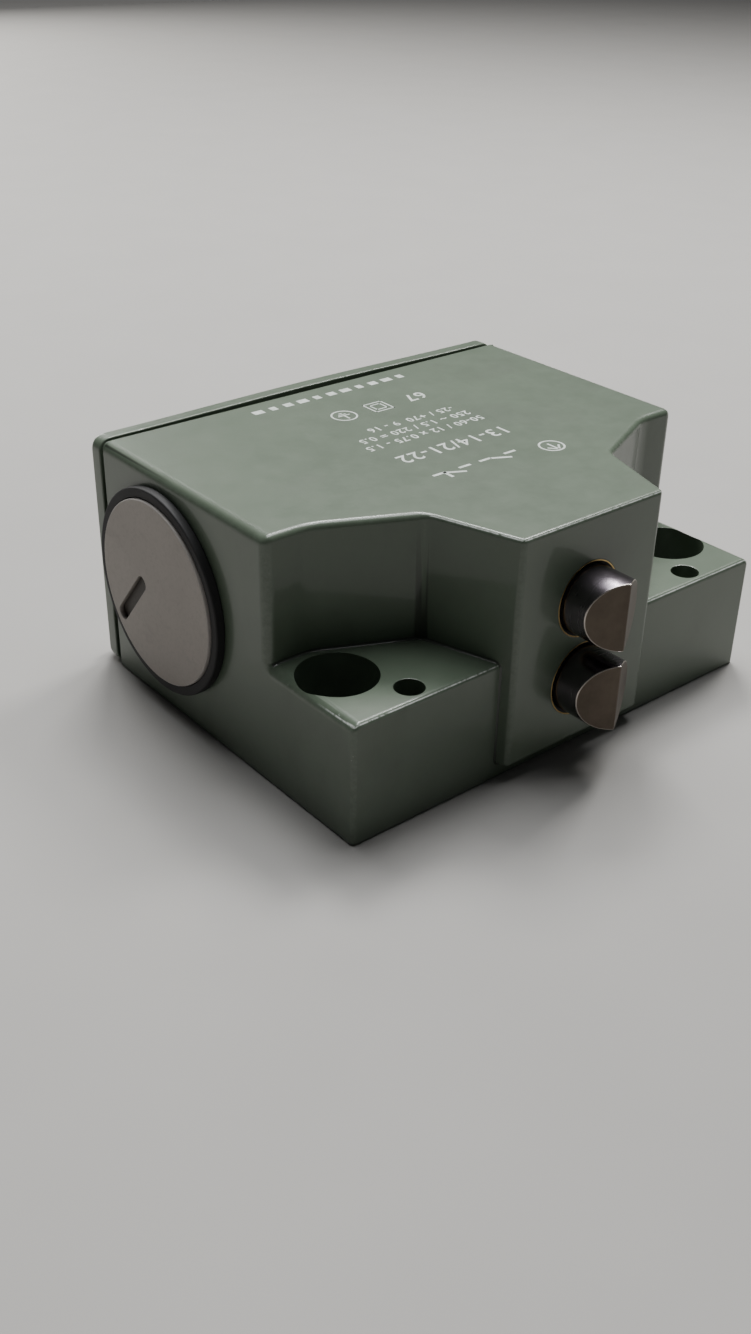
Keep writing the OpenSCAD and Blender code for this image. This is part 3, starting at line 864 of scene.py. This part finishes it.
def build_cover_screws():
    first = build_cover_screw()
    rise = SCREW_HEIGHTS[1] - SCREW_HEIGHTS[0]
    copies = [twin(first, "screw_copy", (dx, 0, dz))
              for dx in (0, -2 * SCREW_X) for dz in (0, -rise) if dx or dz]
    return joined("cover_screw_set", [first, *copies])


# ---------------------------------------------------------------------------------------------------
# Cable entry plug and the open entry
# ---------------------------------------------------------------------------------------------------

PLUG_RADIUS = (PLUG_HIGH.y - PLUG_LOW.y) / 2
RING_RADIUS = (RING_HIGH.y - RING_LOW.y) / 2
PLUG_SINK = 1.2 * MM
SLOT_LENGTH = 15 * MM
SLOT_WIDTH = 2.9 * MM
SLOT_DEPTH = 1.1 * MM
SLOT_TURN = math.radians(40)
SLOT_OFFSET = Vector((0, 8.3, -4.3)) * MM


def build_plug():
    """A flat disc with a closed stub behind it and a screwdriver slot."""
    face = PLUG_LOW.x
    back = RING_LOW.x + PLUG_SINK
    piece = round_bar("entry_plug_disc", ((face + back) / 2, ENTRY_Y, ENTRY_Z), PLUG_RADIUS, back - face,
                      SIDEWAYS, 160)
    start_edit(piece)
    pick(piece, "FACE", lambda f, m: f.normal.x > 0.9 and near(m.x, back))
    bpy.ops.mesh.inset(thickness=PLUG_RADIUS - ENTRY_RADIUS)
    extrude((PLUG_HIGH.x - back, 0, 0))
    end_edit()
    round_edges(piece, 0.28 * MM, angle=40, segments=3)
    tool = block("slot", (face - 1 * MM, -SLOT_WIDTH / 2, -SLOT_LENGTH / 2),
                 (face + SLOT_DEPTH, SLOT_WIDTH / 2, SLOT_LENGTH / 2))
    start_edit(tool)
    pick(tool, "EDGE", lambda e, m: near(abs(m.y), SLOT_WIDTH / 2)
         and near(abs(m.z), SLOT_LENGTH / 2))
    bpy.ops.mesh.bevel(offset=SLOT_WIDTH / 2 - 0.01 * MM, segments=8)
    end_edit()
    centre = Vector((0, ENTRY_Y, ENTRY_Z)) + SLOT_OFFSET
    tool.data.transform(Matrix.Translation(centre) @ Matrix.Rotation(SLOT_TURN, 4, "X"))
    cut(piece, tool)
    def within_rim(place):
        return distance(place.yz, (ENTRY_Y, ENTRY_Z)) < PLUG_RADIUS - 0.9 * MM

    soften_rims(piece, lambda e, m: m.x < face + 0.3 * MM and within_rim(m), 0.15 * MM)
    # Painted shade: marks the slot's walls and floor, where the plastic is darkened almost to black.
    slot_painted_shade = piece.data.attributes.new("slot_painted_shade", "FLOAT", "POINT")
    for index, vertex in enumerate(piece.data.vertices):
        in_slot = face + 0.2 * MM < vertex.co.x < face + SLOT_DEPTH + 0.2 * MM
        slot_painted_shade.data[index].value = 1.0 if in_slot and within_rim(vertex.co) else 0.0
    return piece


def build_plug_ring():
    """The square-cut seal that the disc sits in, with a rounded outer lip."""
    face, back = RING_LOW.x, RING_HIGH.x
    piece = round_bar("entry_plug_seal", ((face + back) / 2, ENTRY_Y, ENTRY_Z), RING_RADIUS, back - face,
                      SIDEWAYS, 160)
    start_edit(piece)
    pick(piece, "FACE", lambda f, m: f.normal.x < -0.9)
    bpy.ops.mesh.inset(thickness=RING_RADIUS - PLUG_RADIUS - 0.05 * MM)
    extrude((PLUG_SINK, 0, 0))
    end_edit()
    drill(piece, "middle", (face, ENTRY_Y, ENTRY_Z), ENTRY_RADIUS, 12 * MM, SIDEWAYS)
    round_edges(piece, 0.45 * MM, angle=40, segments=4)
    return piece


THREAD_TURNS = 3
THREAD_STEPS = 64 * THREAD_TURNS
RUN_OUT_STEPS = 24


def build_entry_thread():
    """The M25 x 1.5 thread in the open entry: one ridge wound along the wall."""
    inner, outer = ENTRY_RADIUS + 0.02 * MM, THREAD_RADIUS + 0.15 * MM
    start_x = HALF_WIDTH - 6.0 * MM
    piece = block("entry_thread", (start_x, ENTRY_Y + inner, ENTRY_Z),
                  (start_x + THREAD_PITCH * 0.92, ENTRY_Y + outer, ENTRY_Z + 1 * MM))
    start_edit(piece)
    pick(piece, "FACE", lambda f, m: f.normal.z < 0.9)
    bpy.ops.mesh.delete(type="FACE")
    pick(piece, "EDGE", lambda e, m: near(m.y, ENTRY_Y + inner))
    bpy.ops.transform.resize(value=(0.22, 1, 1), center_override=(start_x + THREAD_PITCH * 0.46, 0, 0))
    bpy.ops.mesh.select_all(action="SELECT")
    bpy.ops.transform.translate(value=(0, 0, -1 * MM))
    bpy.ops.mesh.spin(steps=THREAD_STEPS, angle=2 * math.pi * THREAD_TURNS,
                      center=(0, ENTRY_Y, ENTRY_Z), axis=(1, 0, 0))
    end_edit()
    rise = THREAD_PITCH * THREAD_TURNS / THREAD_STEPS
    for index, vertex in enumerate(piece.data.vertices):
        step = index // 4
        vertex.co.x += rise * step
        radius = distance(vertex.co.yz, (ENTRY_Y, ENTRY_Z))
        run_out = min(1.0, (step + 1) / RUN_OUT_STEPS, (THREAD_STEPS + 1 - step) / RUN_OUT_STEPS)
        share = (outer - (outer - radius) * run_out) / radius
        vertex.co.y = ENTRY_Y + (vertex.co.y - ENTRY_Y) * share
        vertex.co.z = ENTRY_Z + (vertex.co.z - ENTRY_Z) * share
    start_edit(piece, "EDGE")
    bpy.ops.mesh.select_all(action="DESELECT")
    bpy.ops.mesh.select_non_manifold()
    bpy.ops.mesh.edge_face_add()
    bpy.ops.mesh.select_all(action="SELECT")
    bpy.ops.mesh.normals_make_consistent(inside=False)
    end_edit()
    return piece


# ---------------------------------------------------------------------------------------------------
# Plungers, guides and wipers
# ---------------------------------------------------------------------------------------------------


GROOVE_Y = behind_nose(5)
GROOVE_WIDTH = 2.4 * MM
GROOVE_DEPTH = 1.98 * MM
STEM_RADIUS = 3 * MM
MOUTH_RADIUS = 7.1 * MM
RUNNING_GAP = 0.05 * MM


def build_plunger(side, height):
    """A bar with two roof faces meeting in an upright ridge, a seal groove and a thinner stem."""
    ridge = PLUNGER_LOW.y
    shoulder = behind_nose(17)
    piece = round_bar(side + "_plunger_bar", (0, (ridge + shoulder) / 2, height), PLUNGER_RADIUS,
                      shoulder - ridge, sides=128)
    start_edit(piece)
    for sign in (-1, 1):
        slice_at(piece, (0, ridge, height), (sign * math.sin(ROOF_SLOPE), -math.cos(ROOF_SLOPE), 0),
                 use_fill=True, clear_outer=True)
    for y in (GROOVE_Y, GROOVE_Y + GROOVE_WIDTH):
        slice_at(piece, (0, y, 0), (0, 1, 0))
    pick(piece, "FACE", lambda f, m: GROOVE_Y < m.y < GROOVE_Y + GROOVE_WIDTH)
    bpy.ops.mesh.extrude_region_shrink_fatten(TRANSFORM_OT_shrink_fatten={"value": -GROOVE_DEPTH})
    pick(piece, "FACE", lambda f, m: f.normal.y > 0.9 and near(m.y, shoulder))
    bpy.ops.mesh.inset(thickness=PLUNGER_RADIUS - STEM_RADIUS)
    extrude((0, PLUNGER_HIGH.y - shoulder, 0))
    end_edit()
    round_edges(piece, 0.22 * MM, angle=24, segments=3)
    return piece


def sleeve(name, radius, front, back, height):
    """A tube along Y that runs from this outer radius in to the plunger's running gap."""
    bpy.ops.mesh.primitive_cylinder_add(
        vertices=128, radius=radius, depth=back - front, end_fill_type="NOTHING",
        location=(0, (front + back) / 2, height), rotation=FORWARD)
    piece = settle(name)
    finish_with(piece, "SOLIDIFY", thickness=radius - PLUNGER_RADIUS - RUNNING_GAP, offset=-1)
    return piece


def build_guide(side, height):
    """A thin brass sleeve, flush with the nose and eased at its mouth."""
    piece = sleeve(side + "_guide_sleeve", BUSH_RADIUS, BUSH_LOW.y, BUSH_HIGH.y, height)
    drill(piece, "recess", (0, BUSH_LOW.y, height), MOUTH_RADIUS, 4 * MM, sides=128)
    round_edges(piece, 0.09 * MM, angle=40, segments=3)
    return piece


def build_wiper(side, height):
    """A rubber ring sunk in the sleeve's mouth, its lip sloping in to the plunger."""
    front = BUSH_LOW.y + 0.25 * MM
    back = BUSH_LOW.y + 2.0 * MM
    piece = sleeve(side + "_wiper_ring", MOUTH_RADIUS - 0.01 * MM, front, back, height)
    start_edit(piece)
    pick(piece, "EDGE", lambda e, m: near(m.y, front)
         and distance((m.x, m.z), (0, height)) < PLUNGER_RADIUS + 0.25 * MM)
    bpy.ops.transform.translate(value=(0, 0.22 * MM, 0))
    end_edit()
    round_edges(piece, 0.06 * MM, angle=30, segments=2)
    return piece


def build_coil(node, wire_width, turns, height):
    """A plain round-wire coil along Y that fills the box of its node."""
    low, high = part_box(node)
    wire_radius = wire_width / 2
    rise = (high.y - low.y - wire_width) / turns
    bpy.ops.mesh.primitive_circle_add(
        vertices=12, radius=wire_radius, location=((high.x - low.x) / 2 - wire_radius, 0, 0),
        rotation=FORWARD)
    piece = settle(node + "_coil")
    finish_with(piece, "SCREW", angle=2 * math.pi, screw_offset=rise, iterations=turns, steps=28,
                render_steps=28)
    start_edit(piece)
    bpy.ops.mesh.select_all(action="SELECT")
    bpy.ops.mesh.fill_holes(sides=12)
    bpy.ops.mesh.normals_make_consistent(inside=False)
    end_edit()
    place = Matrix.Translation((0, low.y + wire_radius, height))
    piece.data.transform(place @ Matrix.Rotation(math.radians(-90), 4, "X"))
    return piece


# ---------------------------------------------------------------------------------------------------
# Printed marks on the top face, read from the cover side
# ---------------------------------------------------------------------------------------------------

INK_HEIGHT = 0.02 * MM
FONT_SIZE = 1.4  # font size that makes figures one unit high


def printed_number(words, x, y, height_mm):
    """A row of figures whose top is towards the nose, starting at x and running to -X."""
    bpy.ops.object.text_add(location=(x * MM, behind_nose(y), TOP), rotation=(0, 0, math.pi))
    text = bpy.context.object
    text.data.body = words
    text.data.size = height_mm * FONT_SIZE * MM
    text.data.extrude = INK_HEIGHT / 2
    text.data.offset = 0.04 * MM
    text.data.resolution_u = 3
    text.data.space_character = 1.12
    only(text)
    bpy.ops.object.convert(target="MESH")
    return settle("print")


def printed_bar(x, y, length, width=0.42, turn=0.0):
    """A straight stroke, its middle at x and y in millimetres, y counted back from the nose face."""
    bpy.ops.mesh.primitive_cube_add(
        size=1, location=(x * MM, behind_nose(y), TOP), rotation=(0, 0, math.radians(turn)),
        scale=(length * MM, width * MM, INK_HEIGHT))
    return settle("print")


def printed_ring(x, y, radius, width=0.4):
    bpy.ops.mesh.primitive_cylinder_add(vertices=40, radius=radius * MM, depth=INK_HEIGHT,
                                        end_fill_type="NOTHING", location=(x * MM, behind_nose(y), TOP))
    ring = settle("print")
    finish_with(ring, "SOLIDIFY", thickness=width * MM, offset=-1)
    return ring


def contact_symbol(x, y, closed):
    """A circuit symbol: two leads with a blade that is open or closed."""
    stroke = 0.65
    marks = [printed_bar(x + 3.1, y, 2.8, stroke), printed_bar(x - 3.1, y, 2.8, stroke)]
    marks.append(printed_bar(x, y - 1.0, 4.2, stroke, turn=-27))
    if closed:
        marks.append(printed_bar(x - 1.8, y - 1.1, 2.6, stroke, turn=90))
    return marks


def earth_symbol(x, y):
    marks = [printed_ring(x, y, 2.7, 0.35), printed_bar(x, y - 0.9, 1.8, 0.35, 90)]
    for row, length in enumerate((2.8, 1.8, 0.8)):
        marks.append(printed_bar(x, y + 0.1 + row * 0.62, length, 0.3))
    return marks


def double_square(x, y):
    marks = []
    for half in (2.2, 1.25):
        marks += [printed_bar(x, y + s * half, 2 * half + 0.3, 0.3) for s in (-1, 1)]
        marks += [printed_bar(x + s * half, y, 2 * half + 0.3, 0.3, 90) for s in (-1, 1)]
    return marks


def build_print():
    """Contact signs, terminal figures, ratings as bare figures, and a row of plain blocks."""
    marks = [printed_ring(16, 26.5, 2.6), printed_bar(16, 26.2, 3.0, turn=90),
             printed_bar(15.2, 25.4, 2.0, turn=-50), printed_bar(16.8, 25.4, 2.0, turn=50)]
    marks += contact_symbol(4.4, 29.0, closed=False) + contact_symbol(-6.8, 29.0, closed=True)
    for row in (("13-14/21-22", 15.6, 39.6, 3.5), ("50-60 / 12 x 0.75 - 1.5", 16.0, 46.4, 2.0),
                ("250 ~ 1.5 / 220 = 0.5", 15.6, 50.0, 2.0), ("-25 / +70  9 - 16", 14.6, 53.6, 2.0),
                ("67", 15.4, 63.6, 3.4)):
        marks.append(printed_number(*row))
    marks += double_square(3.2, 62) + earth_symbol(-5.4, 62)
    for index in range(11):
        marks.append(printed_bar(18.2 - index * 3.6, 73.4, 1.5 + 0.9 * (index * 5 % 3) / 2, 1.7))
    return joined("printed_marks", marks)


# ---------------------------------------------------------------------------------------------------
# Making the whole switch
# ---------------------------------------------------------------------------------------------------

add_camera()
add_light()
add_floor()

enamel_paint = enamel()
casting = bare_casting()
brass = turned_brass()
rubber = black_rubber()
zinc = zinc_plate()

housing = build_housing()
housing.data.materials.append(enamel_paint)
line_the_chamber(housing, casting)
smooth(housing)
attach(housing, BODY)
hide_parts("housing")

cover = build_cover()
smooth(cover)
dress(cover, enamel_paint, BODY, ["rear_cover"])
gasket = build_gasket()
smooth(gasket)
dress(gasket, rubber, BODY, ["cover_gasket"])
dress(build_cover_screws(), zinc, BODY, ["cover_screws"])

plug = build_plug()
mark_wear_and_painted_light(plug, lambda face: face.area > 3 * MM * MM)
smooth(plug)
dress(plug, plug_plastic(), BODY, ["entry_plug"])
plug_seal = build_plug_ring()
smooth(plug_seal)
dress(plug_seal, rubber, BODY, ["entry_plug_ring"])
thread = build_entry_thread()
smooth(thread)
dress(thread, casting, BODY)

for side, height in PLUNGER_HEIGHTS.items():
    bar = build_plunger(side, height)
    mark_wear_and_painted_light(bar, lambda face: face.area > 1 * MM * MM)
    smooth(bar, 20)
    steel = ground_steel(height, side + "_ground_steel")
    dress(bar, steel, side + "_plunger_unit", [side + "_plunger"])
    guide = build_guide(side, height)
    smooth(guide)
    dress(guide, brass, BODY, [side + "_guide_bush"])
    wiper = build_wiper(side, height)
    smooth(wiper)
    dress(wiper, rubber, BODY, [side + "_wiper_seal"])

dress(build_print(), printing_ink(), BODY)

# The inner pieces keep their machined shapes and get their own finishes.
thermoset = moulding("black_thermoset", (0.014, 0.014, 0.015), (0.028, 0.027, 0.028), 0.38)
amber = moulding("amber_moulding", (0.42, 0.22, 0.05), (0.58, 0.34, 0.10), 0.14, coat=0.5)
nylon = moulding("white_nylon", (0.66, 0.64, 0.57), (0.76, 0.74, 0.68), 0.40)
copper = stamped("contact_copper", (0.55, 0.26, 0.13), (0.78, 0.44, 0.25))
contact_brass = stamped("contact_brass", (0.58, 0.42, 0.18), (0.80, 0.62, 0.30))
wire = spring_wire()
pin_steel = stamped("pin_steel", (0.42, 0.42, 0.44), (0.56, 0.56, 0.58))

INNER_FINISHES = {
    "plunger_oring": rubber, "key_pin": pin_steel, "spring_seat": brass,
    "switch_case": thermoset, "switch_lid": amber, "switch_button": nylon, "contact_bridge": copper,
    "closed_contacts": contact_brass, "open_contacts": contact_brass, "terminal_screws": zinc,
}
inner = {side + "_" + name: finish
         for side in PLUNGER_HEIGHTS for name, finish in INNER_FINISHES.items()}
inner.update({"switch_carrier": zinc, "carrier_screws": zinc, "earth_screw": contact_brass,
              "earth_clamp": contact_brass})
for name, finish in inner.items():
    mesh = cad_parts[name].data
    mesh.materials.clear()
    mesh.materials.append(finish)

# Each spring: wire width in millimetres, turns, the body that carries it, the joint that shortens it,
# its fixed end in millimetres behind the nose face, and the share of its length left at full travel.
SPRINGS = {
    "return_spring": (1.2, 5, BODY, "plunger_slide", 29.0, 7.0 / 12.0),
    "button_spring": (0.5, 4, BODY, "button_slide", 64.5, 3.4 / 8.4),
    "contact_spring": (0.4, 4, "button_unit", "button_slide", 46.1, 4.5 / 6.5),
}
for side, height in PLUNGER_HEIGHTS.items():
    for name, (width, turns, body, joint, fixed_end, share) in SPRINGS.items():
        carrier = body if body == BODY else side + "_" + body
        coil = build_coil(side + "_" + name, width * MM, turns, height)
        smooth(coil, 60)
        dress(coil, wire, carrier, [side + "_" + name])
        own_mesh(coil)
